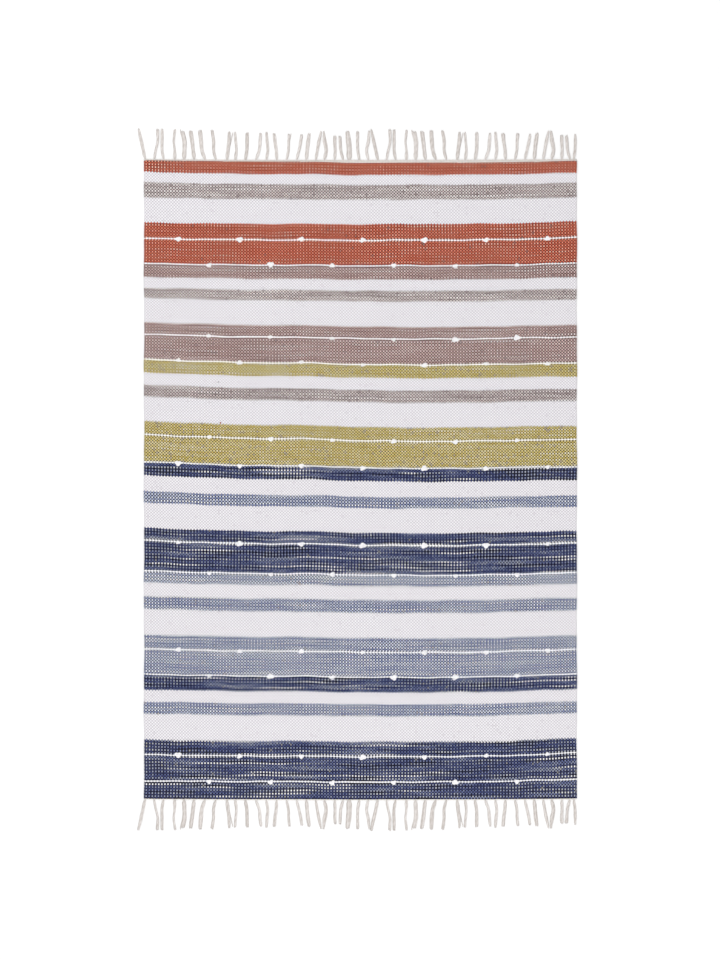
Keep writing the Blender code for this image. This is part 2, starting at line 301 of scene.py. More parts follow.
class Draft:
    """A mesh in the making: its points, and faces with a weave coordinate at every corner."""

    def __init__(self) -> None:
        """Start an empty draft."""
        self.points: list[np.ndarray] = []
        self.count = 0
        self.corners: list[np.ndarray] = []
        self.sizes: list[np.ndarray] = []
        self.places: list[np.ndarray] = []
        self.shades: list[np.ndarray] = []
        self.finishes: list[np.ndarray] = []

    def add_points(self, points: np.ndarray) -> int:
        """Add points.

        Args:
            points: Coordinates, one row a point.

        Returns:
            The number of the first of them.
        """
        first = self.count
        self.points.append(points.reshape(-1, 3))
        self.count += len(self.points[-1])
        return first

    def add_faces(
        self, faces: np.ndarray, places: np.ndarray, shade: float = 0.0, finish: int = 0
    ) -> None:
        """Add faces that all have the same number of corners.

        Args:
            faces: Point numbers, one row a face.
            places: Weave coordinates of each face's corners.
            shade: How much lighter than its yarn the stripe is.
            finish: Number of the material.
        """
        self.corners.append(faces.reshape(-1))
        self.sizes.append(np.full(len(faces), faces.shape[1]))
        self.places.append(places.reshape(-1, 2))
        self.shades.append(np.full(len(faces), shade))
        self.finishes.append(np.full(len(faces), finish))

    def add_tube(
        self,
        centres: np.ndarray,
        widths: np.ndarray,
        heights: np.ndarray,
        sides: int,
        number: int,
        closed: bool = False,
    ) -> None:
        """Add one yarn or strand as a tube.

        Args:
            centres: Points of its middle line.
            widths: Half width at each point.
            heights: Half height at each point.
            sides: Faces round the tube.
            number: The strand's own number, which its finish varies with.
            closed: Whether the last ring joins the first one.
        """
        if closed:
            run = np.roll(centres, -1, axis=0) - np.roll(centres, 1, axis=0)
        else:
            run = np.gradient(centres, axis=0)
        run = run / np.linalg.norm(run, axis=1, keepdims=True)
        right = np.cross(run, (0.0, 0.0, 1.0))
        right = right / np.linalg.norm(right, axis=1, keepdims=True)
        up = np.cross(right, run)
        turn = np.arange(sides) / sides * 2.0 * math.pi
        rings = (
            centres[:, None, :]
            + right[:, None, :] * (widths[:, None] * np.cos(turn))[:, :, None]
            + up[:, None, :] * (heights[:, None] * np.sin(turn))[:, :, None]
        )
        first = self.add_points(rings)
        count = len(centres)
        steps = np.linalg.norm(np.diff(centres, axis=0, append=centres[:1]), axis=1)
        along = np.concatenate(([0.0], np.cumsum(steps)))
        spans = count if closed else count - 1
        ring, side = (part.reshape(-1) for part in np.indices((spans, sides)))
        ring_after, side_after = (ring + 1) % count, (side + 1) % sides
        faces = first + np.stack(
            (
                ring * sides + side,
                ring_after * sides + side,
                ring_after * sides + side_after,
                ring * sides + side_after,
            ),
            axis=1,
        )
        low, high = along[ring], along[ring + 1]
        near, far = number + side / sides * ROUND_SHARE, number + (side + 1) / sides * ROUND_SHARE
        places = np.stack((low, near, high, near, high, far, low, far), axis=1)
        self.add_faces(faces, places)
        if not closed:
            start = first + np.arange(sides)[None, :]
            end = first + (count - 1) * sides + np.arange(sides)[None, ::-1]
            middle = number + 0.5
            for cap, at in ((start, along[0]), (end, along[count - 1])):
                self.add_faces(cap, np.tile((at, middle), (1, sides, 1)))

    def make(self, name: str, materials: Sequence[bpy.types.Material]) -> bpy.types.Object:
        """Turn the draft into an object with smooth faces.

        Args:
            name: The piece's name.
            materials: Its materials, in the order of the faces' finish numbers.

        Returns:
            The object, linked to the scene.
        """
        points, corners = np.concatenate(self.points), np.concatenate(self.corners)
        sizes = np.concatenate(self.sizes)
        mesh = bpy.data.meshes.new(name)
        mesh.vertices.add(len(points))
        mesh.vertices.foreach_set("co", points.astype(np.float32).reshape(-1))
        mesh.loops.add(len(corners))
        mesh.loops.foreach_set("vertex_index", corners.astype(np.int32))
        mesh.polygons.add(len(sizes))
        starts = np.concatenate(([0], np.cumsum(sizes)[:-1]))
        mesh.polygons.foreach_set("loop_start", starts.astype(np.int32))
        for material in materials:
            mesh.materials.append(material)
        finishes = np.concatenate(self.finishes).astype(np.int32)
        mesh.polygons.foreach_set("material_index", finishes)
        mesh.update(calc_edges=True)
        layer = mesh.uv_layers.new(name=WEAVE_MAP)
        places = np.concatenate(self.places).astype(np.float32)
        layer.data.foreach_set("uv", places.reshape(-1))
        shade = mesh.attributes.new(SHADE, "FLOAT", "FACE")
        shade.data.foreach_set("value", np.concatenate(self.shades).astype(np.float32))
        mesh.shade_smooth()
        obj = bpy.data.objects.new(name, mesh)
        bpy.context.scene.collection.objects.link(obj)
        return obj


def zip_chains(
    first: Sequence[int],
    first_at: Sequence[float],
    second: Sequence[int],
    second_at: Sequence[float],
    flip: bool,
) -> np.ndarray:
    """Fill the strip between two chains of points that run the same way.

    Args:
        first: Point numbers of one chain.
        first_at: How far along each of its points is.
        second: Point numbers of the other chain.
        second_at: How far along each of its points is.
        flip: Whether the faces turn the other way.

    Returns:
        Triangles, one row a face.
    """
    faces = []
    i = j = 0
    while i < len(first) - 1 or j < len(second) - 1:
        on_second = j < len(second) - 1
        if not on_second or (i < len(first) - 1 and first_at[i + 1] <= second_at[j + 1]):
            face = (first[i], first[i + 1], second[j])
            i += 1
        else:
            face = (first[i], second[j + 1], second[j])
            j += 1
        if len(set(face)) == 3:
            faces.append(face[::-1] if flip else face)
    return np.array(faces)


class Signal:
    """A shader socket whose maths is written as Python expressions."""

    def __init__(self, graph: "ShaderGraph", socket: bpy.types.NodeSocket) -> None:
        """Wrap a node's output socket."""
        self.graph = graph
        self.socket = socket

    def __add__(self, other: Term) -> "Signal":
        """Sum of two values."""
        return self.graph.math("ADD", self, other)

    __radd__ = __add__

    def __sub__(self, other: Term) -> "Signal":
        """Difference of two values."""
        return self.graph.math("SUBTRACT", self, other)

    def __rsub__(self, other: Term) -> "Signal":
        """Difference from a number."""
        return self.graph.math("SUBTRACT", other, self)

    def __mul__(self, other: Term) -> "Signal":
        """Product of two values."""
        return self.graph.math("MULTIPLY", self, other)

    __rmul__ = __mul__

    def __pow__(self, other: Term) -> "Signal":
        """Power of a value."""
        return self.graph.math("POWER", self, other)

    def __mod__(self, other: Term) -> "Signal":
        """Remainder of a value."""
        return self.graph.math("FLOORED_MODULO", self, other)

    def __abs__(self) -> "Signal":
        """Size of a value."""
        return self.graph.math("ABSOLUTE", self)

    def floor(self) -> "Signal":
        """Whole part of a value."""
        return self.graph.math("FLOOR", self)

    def wave(self) -> "Signal":
        """Sine of a value counted in turns, from 0 to 1."""
        return self.graph.math("SINE", self * (2.0 * math.pi)) * 0.5 + 0.5

    def over(self, limit: Term) -> "Signal":
        """1 where the value is over a limit, and 0 elsewhere."""
        return self.graph.math("GREATER_THAN", self, limit)


class ShaderGraph:
    """A material's node tree, with one method for every kind of node."""

    def __init__(self, name: str, roughness: float, sheen: float) -> None:
        """Start a matt material.

        Args:
            name: The material's name.
            roughness: Roughness of its surface.
            sheen: Weight of the soft sheen of its fibres.
        """
        self.material = bpy.data.materials.new(name)
        self.material.use_nodes = True
        self.tree = self.material.node_tree
        self.shader = self.tree.nodes["Principled BSDF"]
        self.shader.inputs["Roughness"].default_value = roughness
        self.shader.inputs["Specular IOR Level"].default_value = SPECULAR
        self.shader.inputs["Sheen Weight"].default_value = sheen
        self.shader.inputs["Sheen Roughness"].default_value = SHEEN_ROUGHNESS

    def node(self, kind: str, settings: dict[str, Any], sockets: dict[Any, Any]) -> Any:
        """Add a node.

        Args:
            kind: The node's type.
            settings: Its settings, which are set first; stops are those of its colour ramp.
            sockets: A value or a link for each of its input sockets, by name or number.

        Returns:
            The node.
        """
        node = self.tree.nodes.new(kind)
        for name, value in settings.items():
            if name == "stops":
                ramp = node.color_ramp
                while len(ramp.elements) < len(value):
                    ramp.elements.new(0.5)
                for element, (place, colour) in zip(ramp.elements, value):
                    element.position = place
                    element.color = (*colour, 1.0)
            else:
                setattr(node, name, value)
        for key, value in sockets.items():
            self.feed(node.inputs[key], value)
        return node

    def feed(self, socket: bpy.types.NodeSocket, value: Any) -> None:
        """Link a signal to a socket, or set the socket's own value.

        Args:
            socket: The input socket.
            value: The signal or the value.
        """
        if isinstance(value, Signal):
            self.tree.links.new(value.socket, socket)
        else:
            socket.default_value = value

    def read(self, kind: str, settings: dict[str, Any], sockets: dict[Any, Any]) -> Signal:
        """Add a node and return its first output."""
        return Signal(self, self.node(kind, settings, sockets).outputs[0])

    def math(self, operation: str, *terms: Term) -> Signal:
        """Add a Math node on one or two values."""
        return self.read("ShaderNodeMath", {"operation": operation}, dict(enumerate(terms)))

    def weave(self) -> tuple[Signal, Signal]:
        """Read the piece's own map.

        Returns:
            Its two weave coordinates.
        """
        place = self.node("ShaderNodeUVMap", {"uv_map": WEAVE_MAP}, {})
        parts = self.node(
            "ShaderNodeSeparateXYZ", {}, {"Vector": Signal(self, place.outputs[0])}
        )
        return Signal(self, parts.outputs[0]), Signal(self, parts.outputs[1])

    def shade(self) -> Signal:
        """How much lighter the stripe is than its yarn."""
        node = self.node("ShaderNodeAttribute", {"attribute_name": SHADE}, {})
        return Signal(self, node.outputs["Fac"])

    def vector(self, x: Term, y: Term) -> Signal:
        """A flat vector of two values."""
        return self.read("ShaderNodeCombineXYZ", {}, {"X": x, "Y": y})

    def chance(self, x: Term, y: Term) -> Signal:
        """An even random value for each pair of whole numbers."""
        place = self.vector(x, y)
        return self.read("ShaderNodeTexWhiteNoise", {"noise_dimensions": "2D"}, {"Vector": place})

    def cloud(self, x: Term, y: Term, detail: float = 1.0) -> Signal:
        """Soft noise over two values, from 0 to 1 about 0.5."""
        return self.read(
            "ShaderNodeTexNoise",
            {"noise_dimensions": "2D"},
            {"Vector": self.vector(x, y), "Scale": 1.0, "Detail": detail, "Roughness": 0.5},
        )

    def rise(self, value: Term, start: float, end: float) -> Signal:
        """Ease from 0 to 1 as a value goes from start to end."""
        return self.read(
            "ShaderNodeMapRange",
            {"interpolation_type": "SMOOTHSTEP"},
            {"Value": value, "From Min": start, "From Max": end},
        )

    def ramp(self, value: Term, stops: Sequence[tuple[float, Colour]]) -> Signal:
        """The colour of a value between given stops."""
        return self.read("ShaderNodeValToRGB", {"stops": stops}, {"Fac": value})

    def mix(self, share: Term, first: Any, second: Any) -> Signal:
        """Mix two colours.

        Args:
            share: How far the way from the first to the second goes.
            first: A colour or a signal.
            second: A colour or a signal.

        Returns:
            The mixed colour.
        """
        colours = [c if isinstance(c, Signal) else (*c, 1.0) for c in (first, second)]
        sockets = {MIX_SHARE: share, MIX_FIRST: colours[0], MIX_SECOND: colours[1]}
        node = self.node("ShaderNodeMix", {"data_type": "RGBA"}, sockets)
        return Signal(self, node.outputs[2])

    def finish(self, colour: Signal, height: Signal, depth: float) -> bpy.types.Material:
        """Close the material.

        Args:
            colour: Its base colour.
            height: Its relief, from 0 to 1.
            depth: How deep that relief is, in metres.

        Returns:
            The material.
        """
        self.feed(self.shader.inputs["Base Color"], colour)
        relief = {"Height": height, "Strength": BUMP_STRENGTH, "Distance": depth}
        self.feed(self.shader.inputs["Normal"], self.read("ShaderNodeBump", {}, relief))
        return self.material


def seen(red: float, green: float, blue: float) -> Colour:
    """A colour as it is seen on a screen, 0 to 255, as linear light."""
    return tuple(
        c / 12.92 if c <= 0.04045 else ((c + 0.055) / 1.055) ** 2.4
        for c in (red / 255, green / 255, blue / 255)
    )


@dataclass(frozen=True)
class WeftFinish:
    """Dyed or heathered cotton weft, seen as short floats with painted shade in the pits between
    them.

    Two shuttles throw the picks in turn, and their yarns differ a little in tone. Here and
    there a pick runs light for a hand's breadth, where undyed fibre is spun in.
    """

    yarn: Yarn
    tones: tuple[Colour, ...]
    # Painted shade: the dark colour that the pits between floats are painted towards.
    pit_shade: Colour
    float_share: float
    body: float
    streak: float
    heather: float
    shuttles: float
    speckle: float
    fleck: Colour
    fleck_share: float
    fleck_strength: float = 0.6
    fleck_offset: tuple[float, float] = (0.37, 7.91)
    roughness: float = 0.92
    sheen: float = 0.12
    dye_run: float = 0.016
    dye_step: float = 5.37
    heather_from: float = 0.55
    heather_to: float = 0.66
    shuttle_run: float = 0.03
    shuttle_step: float = 0.31
    shuttle_start: float = 9.0
    fibre_share: float = 0.16
    fibre_grain: tuple[float, float] = (2.2, 13.0)
    fibre_slant: tuple[float, float] = (1.4, -1.1)
    ply_turns: tuple[float, float] = (1.6, 1.1)
    # Painted shade: how soft the edge of each darkened pit is, and how fully it is darkened.
    pit_shade_blur: float = 0.1
    pit_shade_cover: float = 0.96
    crown: float = 0.6
    dome_height: float = 0.75
    ply_height: float = 0.13
    fibre_height: float = 0.3
    relief: float = 0.0009

    def material(self) -> bpy.types.Material:
        """Dress the weft.

        Returns:
            The material, which reads the weave coordinates in warps and picks.
        """
        graph = ShaderGraph(f"{self.yarn.value}_cotton", self.roughness, self.sheen)
        warp, up = graph.weave()
        pick = up.floor()
        run = (warp + 1.0 + pick % 2.0) * 0.5
        cell = (warp + 0.5).floor()
        along = abs((run - run.floor()) * 2.0 - 1.0)
        across = abs((up - pick) * 2.0 - 1.0)
        dyeing = graph.cloud(warp * self.dye_run, pick * self.dye_step, detail=2.0)
        place = pick * self.shuttle_step + self.shuttle_start
        shuttle = graph.cloud(warp * self.shuttle_run, place)
        single = graph.chance(cell, pick + 0.5)
        (run_grain, rise_grain), (run_slant, rise_slant) = self.fibre_grain, self.fibre_slant
        fibre = graph.cloud(
            warp * run_grain + up * run_slant, up * rise_grain + warp * rise_slant, detail=2.0
        )
        tone = (
            self.body
            + (dyeing - 0.5) * self.streak
            + graph.rise(dyeing, self.heather_from, self.heather_to) * self.heather
            + shuttle * (pick % 2.0 - 0.5) * self.shuttles
            + (single - 0.5) * self.speckle
            + (fibre - 0.5) * self.fibre_share
            + graph.shade()
        )
        last = len(self.tones) - 1
        stops = [(i / last, seen(*colour)) for i, colour in enumerate(self.tones)]
        colour = graph.ramp(tone, stops)
        over, up_by = self.fleck_offset
        strange = graph.chance(cell + over, pick + up_by).over(1.0 - self.fleck_share)
        colour = graph.mix(strange * self.fleck_strength, colour, seen(*self.fleck))
        # Painted shade: darken the colour towards the pit colour where each float dives under a
        # warp.
        low, high = self.float_share - self.pit_shade_blur, self.float_share + self.pit_shade_blur
        pit_shade = graph.rise(along, low, high) * self.pit_shade_cover
        colour = graph.mix(pit_shade, colour, seen(*self.pit_shade))
        dome = (1.0 - along**2.0) * self.crown + (1.0 - across**2.0) * (1.0 - self.crown)
        ply = (warp * self.ply_turns[0] + up * self.ply_turns[1]).wave()
        height = dome * self.dome_height + ply * self.ply_height + fibre * self.fibre_height
        return graph.finish(colour, height, self.relief)


@dataclass(frozen=True)
class StrandFinish:
    """Loose or lightly twisted cotton strands, each a little lighter or darker, with painted shade
    in the grooves between their plies.
    """

    name: str
    light: Colour
    dark: Colour
    twist: float
    variety: float
    plies: float = 2.0
    roughness: float = 0.95
    sheen: float = 0.15
    fade: float = 0.12
    streak: float = 0.9
    # Painted shade: how much darker the grooves between plies are painted.
    groove_shade: float = 0.22
    fuzz: float = 0.3
    streak_grain: tuple[float, float] = (60.0, 4.0)
    fuzz_grain: tuple[float, float] = (900.0, 14.0)
    strand_step: tuple[float, float] = (3.7, 7.1)
    ply_height: float = 0.6
    relief: float = 0.0005

    def material(self) -> bpy.types.Material:
        """Dress the strands.

        Returns:
            The material, which reads how far along a strand is and the strand's number.
        """
        graph = ShaderGraph(self.name, self.roughness, self.sheen)
        along, round_ = graph.weave()
        number = round_.floor()
        turn = round_ - number
        own = graph.chance(number, 3.0)
        place = [
            value * grain + number * step
            for value, grain, step in zip((along, turn), self.streak_grain, self.strand_step)
        ]
        streak = graph.cloud(*place, detail=2.0)
        fuzz = graph.cloud(along * self.fuzz_grain[0], turn * self.fuzz_grain[1] + number)
        ply = (along * (1.0 / self.twist) + turn * self.plies).wave()
        # Painted shade darkens the grooves between plies; the other terms vary the tone at random.
        tone = (
            self.fade
            + own * self.variety
            + (streak - 0.5) * self.streak
            + (1.0 - ply) * self.groove_shade
            + (fuzz - 0.5) * self.fuzz
        )
        colour = graph.mix(graph.rise(tone, 0.0, 1.0), seen(*self.light), seen(*self.dark))
        height = ply * self.ply_height + fuzz * (1.0 - self.ply_height)
        return graph.finish(colour, height, self.relief)


# Each yarn's pit colour is painted shade for the pits between its floats.
WEFT_FINISHES = (
    WeftFinish(
        Yarn.RUST,
        tones=((166, 45, 24), (217, 96, 67), (247, 152, 126), (253, 227, 210)),
        pit_shade=(30, 2, 1),
        float_share=0.42,
        body=0.5,
        streak=0.28,
        heather=0.0,
        shuttles=0.72,
        speckle=0.14,
        fleck=(120, 104, 106),
        fleck_share=0.006,
    ),
    WeftFinish(
        Yarn.WHITE,
        tones=((230, 228, 232), (240, 238, 242), (247, 246, 248)),
        pit_shade=(199, 194, 200),
        float_share=0.5,
        body=0.5,
        streak=0.25,
        heather=0.0,
        shuttles=0.35,
        speckle=0.26,
        fleck=(214, 209, 215),
        fleck_share=0.02,
    ),
    WeftFinish(
        Yarn.TAUPE,
        tones=((132, 116, 116), (196, 183, 182), (227, 219, 217), (249, 246, 245)),
        pit_shade=(56, 42, 44),
        float_share=0.5,
        body=0.47,
        streak=0.68,
        heather=0.12,
        shuttles=0.45,
        speckle=0.26,
        fleck=(110, 86, 86),
        fleck_share=0.02,
    ),
    WeftFinish(
        Yarn.ROSE,
        tones=((120, 75, 72), (196, 161, 156), (238, 215, 212), (253, 253, 253)),
        pit_shade=(24, 5, 5),
        float_share=0.42,
        body=0.47,
        streak=0.42,
        heather=0.06,
        shuttles=0.6,
        speckle=0.18,
        fleck=(120, 98, 104),
        fleck_share=0.008,
    ),
    WeftFinish(
        Yarn.OLIVE,
        tones=((180, 152, 57), (212, 192, 108), (228, 217, 173), (242, 237, 226)),
        pit_shade=(56, 42, 24),
        float_share=0.5,
        body=0.46,
        streak=0.35,
        heather=0.1,
        shuttles=0.42,
        speckle=0.28,
        fleck=(160, 152, 158),
        fleck_share=0.04,
    ),
    WeftFinish(
        Yarn.NAVY,
        tones=((8, 10, 45), (54, 64, 120), (108, 118, 163), (172, 176, 191), (240, 239, 244)),
        pit_shade=(1, 1, 6),
        float_share=0.42,
        body=0.415,
        streak=0.75,
        heather=0.24,
        shuttles=0.88,
        speckle=0.18,
        fleck=(166, 160, 150),
        fleck_share=0.006,
    ),
    WeftFinish(
        Yarn.BLUE_GREY,
        tones=((58, 73, 133), (131, 143, 189), (197, 205, 227), (240, 243, 252), (253, 253, 253)),
        pit_shade=(8, 12, 38),
        float_share=0.4,
        body=0.53,
        streak=0.5,
        heather=0.08,
        shuttles=0.6,
        speckle=0.16,
        fleck=(190, 180, 172),
        fleck_share=0.008,
    ),
)
EFFECT_FINISH = StrandFinish(
    "effect_cotton", light=(253, 252, 254), dark=(214, 211, 214), twist=0.0085, variety=0.05
)
LOCK_FINISH = StrandFinish(
    "lock_cotton", light=(229, 224, 221), dark=(186, 178, 172), twist=0.018, variety=0.45
)
HEADER_FINISH = StrandFinish(
    "header_cotton", light=(246, 243, 238), dark=(214, 207, 201), twist=0.0085, variety=0.55
)
SLATE_FINISH = StrandFinish(
    "slate_fibre", light=(74, 78, 94), dark=(42, 44, 58), twist=0.003, variety=0.2
)
RUSSET_FINISH = StrandFinish(
    "russet_fibre", light=(146, 46, 32), dark=(92, 24, 18), twist=0.003, variety=0.2
)


@dataclass(frozen=True)
class Course:
    """A stripe as it is woven: its two edges, its shade, and the number and count of its picks."""

    yarn: Yarn
    low: float
    high: float
    shade: float
    first_pick: int
    picks: int


def woven_courses(pick_height: float) -> list[Course]:
    """Work out every stripe's picks, from the navy end up.

    Args:
        pick_height: Height of one pick, in metres.

    Returns:
        The courses in the order that they are woven.
    """
    courses = []
    tops = (RUST_END, *(stripe.foot * MM for stripe in STRIPES))
    pick = 0
    for stripe, top in reversed(list(zip(STRIPES, tops))):
        foot = stripe.foot * MM
        if stripe.effect:
            courses.append(Course(Yarn.EFFECT, foot, foot + EFFECT_BAND, 0.0, pick, 1))
            pick += 1
            foot += EFFECT_BAND
        picks = max(2, round((top - foot) / pick_height))
        courses.append(Course(stripe.yarn, foot, top, stripe.shade, pick, picks))
        pick += picks
    return courses


@dataclass
class WovenFace:
    """The weft of the rug's face, one piece for each colour of yarn."""

    courses: list[Course]
    float_top: float = CLOTH_THICKNESS + 0.0003
    dive_top: float = 0.0035
    groove_top: float = 0.0043
    open_edge_top: float = 0.0034
    tooth: float = 0.0005
    edge_tooth: float = 0.0019
    open_edge_tooth: float = 0.0012
    unevenness: float = 0.00010
    warp_wander: Ripple = Ripple(size=0.0006, pace=17.0, other_pace=0.045)
    foot_height: float = 0.0030
    foot_inset: float = 0.0060
    foot_points: int = 12
    loop: float = 0.0005
    turn: tuple[tuple[float, float], ...] = (
        (0.0016, 0.0004),
        (0.0003, 0.0014),
        (0.0000, 0.0028),
        (0.0006, 0.0043),
    )
    turn_start: float = 2.4
    turn_step: float = 0.55
    seed: int = 17
    unevenness_of: np.ndarray = field(init=False)

    def __post_init__(self) -> None:
        """Draw the small differences between floats."""
        picks = self.courses[-1].first_pick + self.courses[-1].picks
        chance = np.random.default_rng(self.seed)
        self.unevenness_of = chance.normal(0.0, self.unevenness, (picks, WARPS))

    def build(self, materials: dict[Yarn, bpy.types.Material]) -> list[bpy.types.Object]:
        """Weave every colour.

        Args:
            materials: The material of each yarn.

        Returns:
            One object for each colour.
        """
        pieces = []
        for yarn, material in materials.items():
            draft = Draft()
            for course in self.courses:
                if course.yarn is yarn:
                    self.weave(draft, course)
            pieces.append(draft.make(f"weft_{yarn.value}", [material]))
        return pieces

    def beside_open_edge(self, course: Course, top: bool) -> bool:
        """Whether an effect yarn or the end of the cloth lies past this edge of a course."""
        at = self.courses.index(course) + (1 if top else -1)
        return not 0 <= at < len(self.courses) or self.courses[at].yarn is Yarn.EFFECT

    def face_rows(self, course: Course) -> tuple[np.ndarray, np.ndarray]:
        """Lay out a course's face, a row in each groove and on each pick's crest.

        Args:
            course: The stripe.

        Returns:
            Points and weave coordinates, as rows of columns.
        """
        rows = np.arange(2 * course.picks + 1)
        height = course.low + (course.high - course.low) * rows / (2 * course.picks)
        up = course.first_pick + rows / 2
        warp = np.arange(WARPS)
        y, column = np.meshgrid(height, warp, indexing="ij")
        pick = np.meshgrid(np.floor(up).astype(int), warp, indexing="ij")[0]
        floats = (column + pick) % 2 == 0
        crest = (rows % 2 == 1)[:, None]
        x = LIE.across((column + 0.5) / WARPS, y)
        middle = np.sin(math.pi * (column + 0.5) / WARPS)
        x = x + middle * self.warp_wander.at(y, column)
        uneven = self.unevenness_of[np.minimum(pick, len(self.unevenness_of) - 1), column]
        z = np.where(crest, np.where(floats, self.float_top, self.dive_top), self.groove_top)
        z = z + np.where(crest, uneven, 0.0)
        tooth = np.where(crest, 0.0, self.tooth) * np.ones_like(y)
        for row, top in ((0, False), (-1, True)):
            tooth[row] = self.edge_tooth
            if self.beside_open_edge(course, top):
                z[row] = self.open_edge_top
                tooth[row] = self.open_edge_tooth
        tooth = np.where(floats, -tooth, tooth)
        points = np.stack((x, LIE.pick(x, y) + tooth, z), axis=2)
        places = np.stack(np.broadcast_arrays(column + 0.0, up[:, None]), axis=2)
        left, left_places = self.turns(height, up, -1, points[:, 0, 2])
        right, right_places = self.turns(height, up, 1, points[:, -1, 2])
        return (
            np.concatenate((left, points, right[:, ::-1]), axis=1),
            np.concatenate((left_places, places, right_places[:, ::-1]), axis=1),
        )

    def turns(
        self, height: np.ndarray, up: np.ndarray, side: int, face: np.ndarray
    ) -> tuple[np.ndarray, np.ndarray]:
        """Lay out the weft's turns round the last warp, from the underside to the face.

        Args:
            height: Y of each row at the middle of the width.
            up: Number of each row in picks.
            side: -1 for the left selvedge and 1 for the right one.
            face: Height of the face beside the turns, row by row.

        Returns:
            Points and weave coordinates, as rows of columns.
        """
        bulge = self.loop * np.cos(math.pi * (up - 1.0 - (side > 0)))
        edge = LIE.selvedge(height, side)
        points, places = [], []
        for number, (inset, level) in enumerate(self.turn):
            x = edge - side * (inset - bulge * (level > self.turn[0][1]))
            z = np.minimum(np.full_like(x, level), face)
            points.append(np.stack((x, LIE.pick(x, height), z), axis=1))
            out = self.turn_start - self.turn_step * number
            warp = -out if side < 0 else WARPS - 1 + out
            places.append(np.stack((np.full_like(up, warp), up), axis=1))
        return np.stack(points, axis=1), np.stack(places, axis=1)

    def weave(self, draft: Draft, course: Course) -> None:
        """Add one course as a closed slab, woven above and plain below.

        Args:
            draft: The colour's mesh.
            course: The stripe.
        """
        points, places = self.face_rows(course)
        rows, columns = points.shape[:2]
        turns = len(self.turn)
        edges = []
        for y, row in ((course.low, 0), (course.high, -1)):
            ends = np.array([LIE.selvedge(y, -1), LIE.selvedge(y, 1)])
            x = np.linspace(ends[0] + self.foot_inset, ends[1] - self.foot_inset, self.foot_points)
            column = turns + np.searchsorted(points[row, turns:-turns, 0], x)
            inner = points[row, column, 1]
            edges.append(np.stack((x, inner, np.full_like(x, self.foot_height)), axis=1))
        first = draft.add_points(points)
        foot = draft.add_points(np.concatenate(edges))
        index = first + np.arange(rows * columns).reshape(rows, columns)
        low = foot + np.arange(self.foot_points)
        high = low + self.foot_points
        warp = (edges[0][:, 0] / RUG_WIDTH + 0.5) * WARPS
        ups = np.repeat((course.first_pick, course.first_pick + course.picks), self.foot_points)
        all_places = np.concatenate(
            (places.reshape(-1, 2), np.stack((np.tile(warp, 2), ups), axis=1))
        )
        groups = [
            np.stack(
                (index[:-1, :-1], index[:-1, 1:], index[1:, 1:], index[1:, :-1]), axis=2
            ).reshape(-1, 4),
            np.stack((low[:-1], high[:-1], high[1:], low[1:]), axis=1),
        ]
        for row, chain, edge, flip in ((0, low, edges[0], True), (-1, high, edges[1], False)):
            around = [index[row, 0], *chain, index[row, -1]]
            around_at = [points[row, 0, 0], *edge[:, 0], points[row, -1, 0]]
            groups.append(zip_chains(index[row], points[row, :, 0], around, around_at, flip))
        for column, end, flip in ((0, 0, False), (-1, -1, True)):
            chain = index[:, column]
            pair = (low[end], high[end])
            pair_at = (points[0, column, 1], points[-1, column, 1])
            groups.append(zip_chains(chain, points[:, column, 1], pair, pair_at, flip))
        for faces in groups:
            draft.add_faces(faces, all_places[faces - first], course.shade)


@dataclass
class GroundCloth:
    """The cloth beneath the weft's face, which shows the same stripes on its underside."""

    courses: list[Course]
    columns: int = 60
    thickness: float = 0.0034
    selvedge_inset: float = 0.0012

    def build(self, materials: dict[Yarn, bpy.types.Material]) -> bpy.types.Object:
        """Build the cloth as one closed sheet.

        Args:
            materials: The material of each yarn.

        Returns:
            The cloth.
        """
        finish_of = {yarn: number for number, yarn in enumerate(materials)}
        edges = [self.courses[0].low, *(course.high for course in self.courses)]
        ups = [0, *(course.first_pick + course.picks for course in self.courses)]
        share = np.linspace(0.0, 1.0, self.columns + 1)
        y, across = np.meshgrid(edges, share, indexing="ij")
        x = LIE.across(across, y) + self.selvedge_inset * (1.0 - 2.0 * across)
        top = np.stack((x, LIE.pick(x, y), np.full_like(x, self.thickness)), axis=2)
        under = top * (1.0, 1.0, 0.0)
        draft = Draft()
        draft.add_points(top)
        draft.add_points(under)
        rows, columns = x.shape
        places = np.stack(
            np.broadcast_arrays(share * WARPS - 0.5, np.array(ups, float)[:, None]), axis=2
        ).reshape(-1, 2)
        places = np.concatenate((places, places))
        above = np.arange(rows * columns).reshape(rows, columns)
        below = above + rows * columns
        last = Yarn.NAVY
        for row, course in enumerate(self.courses):
            last = last if course.yarn is Yarn.EFFECT else course.yarn
            one, two = above[row : row + 2], below[row : row + 2]
            faces = np.concatenate(
                (
                    np.stack((one[0, :-1], one[0, 1:], one[1, 1:], one[1, :-1]), axis=1),
                    np.stack((two[0, :-1], two[1, :-1], two[1, 1:], two[0, 1:]), axis=1),
                    [(one[0, 0], one[1, 0], two[1, 0], two[0, 0])],
                    [(one[1, -1], one[0, -1], two[0, -1], two[1, -1])],
                )
            )
            draft.add_faces(faces, places[faces], course.shade, finish_of[last])
        for row, finish, flip in ((0, Yarn.NAVY, False), (-1, Yarn.RUST, True)):
            one, two = above[row], below[row]
            faces = np.stack((one[:-1], two[:-1], two[1:], one[1:]), axis=1)
            faces = faces[:, ::-1] if flip else faces
            draft.add_faces(faces, places[faces], 0.0, finish_of[finish])
        return draft.make("rug_cloth", list(materials.values()))


@dataclass(frozen=True)
class KnottedYarn:
    """An effect yarn: where its first knot is, and each knot's side and size.

    A knot lies up (u), down (d) or centred (c) on its yarn, and is small, middling or large.
    """

    first_knot: float
    side: str
    size: str


EARLY = -0.5055
LATE = -0.4196


